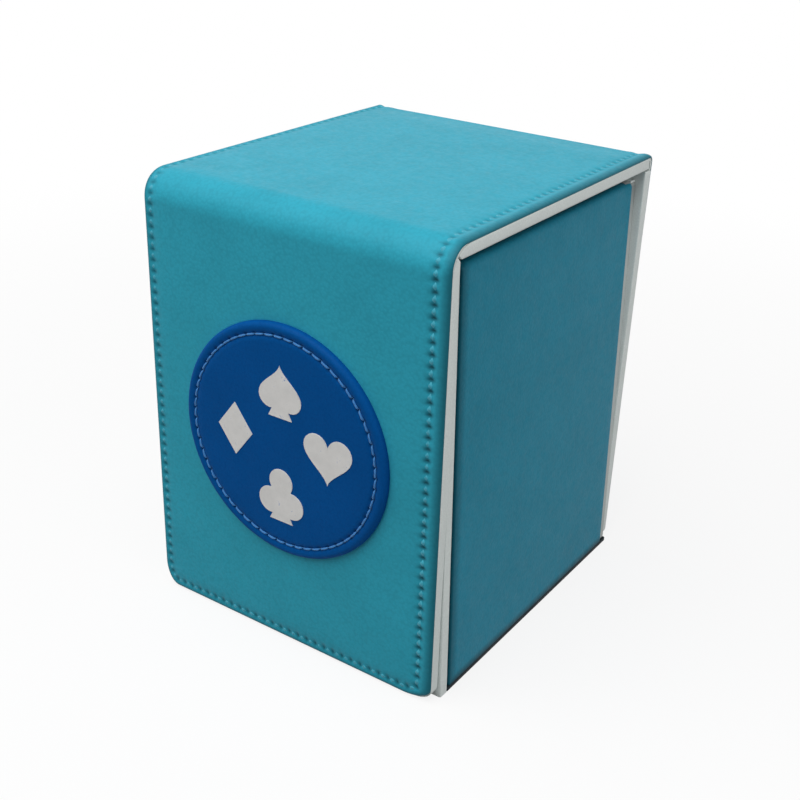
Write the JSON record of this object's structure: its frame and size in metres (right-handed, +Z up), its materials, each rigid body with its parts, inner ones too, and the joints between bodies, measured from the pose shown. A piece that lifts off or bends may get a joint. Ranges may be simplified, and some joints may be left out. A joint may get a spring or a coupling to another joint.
{
  "type": "card deck box",
  "caption": "Leatherette box for a deck of sleeved cards: an open tray in a padded cover whose hinged lid and magnetic front flap fold over it, with a round sewn badge on the flap.",
  "frame": {"origin": "middle of the box on the plane of its underside, where it stands on a table", "axes": "+Z up, -Y out of the flap at the front, +X to the right as the flap is faced from the front"},
  "size_m": [0.0816, 0.0928, 0.1073],
  "materials": {
    "teal_leatherette": "satin",
    "dark_leatherette": "satin",
    "pale_lining": "matte",
    "grey_board": "matte",
    "foam": "matte",
    "teal_thread": "matte",
    "blue_leatherette": "satin",
    "blue_thread": "matte",
    "white_print": "matte",
    "magnet": "satin"
  },
  "bodies": {
    "tray": {"base_skin": "dark_leatherette", "base_board": "grey_board", "floor_lining": "pale_lining", "left_wall_board": "grey_board", "right_wall_board": "grey_board", "left_wall_skin": "teal_leatherette", "right_wall_skin": "teal_leatherette", "left_wall_lining": "pale_lining", "right_wall_lining": "pale_lining", "front_wall_board": "grey_board", "front_wall_lining": "pale_lining", "tray_magnets": "magnet", "rear_wall_board": "grey_board", "rear_wall_lining": "pale_lining", "rear_panel_board": "grey_board", "rear_panel_padding": "foam", "rear_panel_skin": "teal_leatherette", "rear_panel_lining": "pale_lining", "rear_stitching": "teal_thread", "rear_hinge_skin": "teal_leatherette", "rear_hinge_lining": "pale_lining"},
    "lid": {"lid_board": "grey_board", "lid_padding": "foam", "lid_skin": "teal_leatherette", "lid_lining": "pale_lining", "lid_stitching": "teal_thread", "front_fold_skin": "teal_leatherette", "front_fold_lining": "pale_lining"},
    "flap": {"flap_board": "grey_board", "flap_padding": "foam", "flap_skin": "teal_leatherette", "flap_lining": "pale_lining", "flap_magnets": "magnet", "flap_stitching": "teal_thread", "badge_core": "grey_board", "badge_patch": "blue_leatherette", "badge_print": "white_print", "badge_stitching": "blue_thread"}
  },
  "joints": [
    {"name": "lid_hinge", "type": "hinge", "parent": "tray", "child": "lid", "pos_m": [0, 0.0441, 0.1061], "axis": [-1, 0, 0], "range_deg": [0, 178], "deforming": ["rear_hinge_skin", "rear_hinge_lining"]},
    {"name": "flap_hinge", "type": "hinge", "parent": "lid", "child": "flap", "pos_m": [0, -0.04313, 0.10513], "axis": [-1, 0, 0], "range_deg": [0, 90], "deforming": ["front_fold_skin", "front_fold_lining"]}
  ]
}
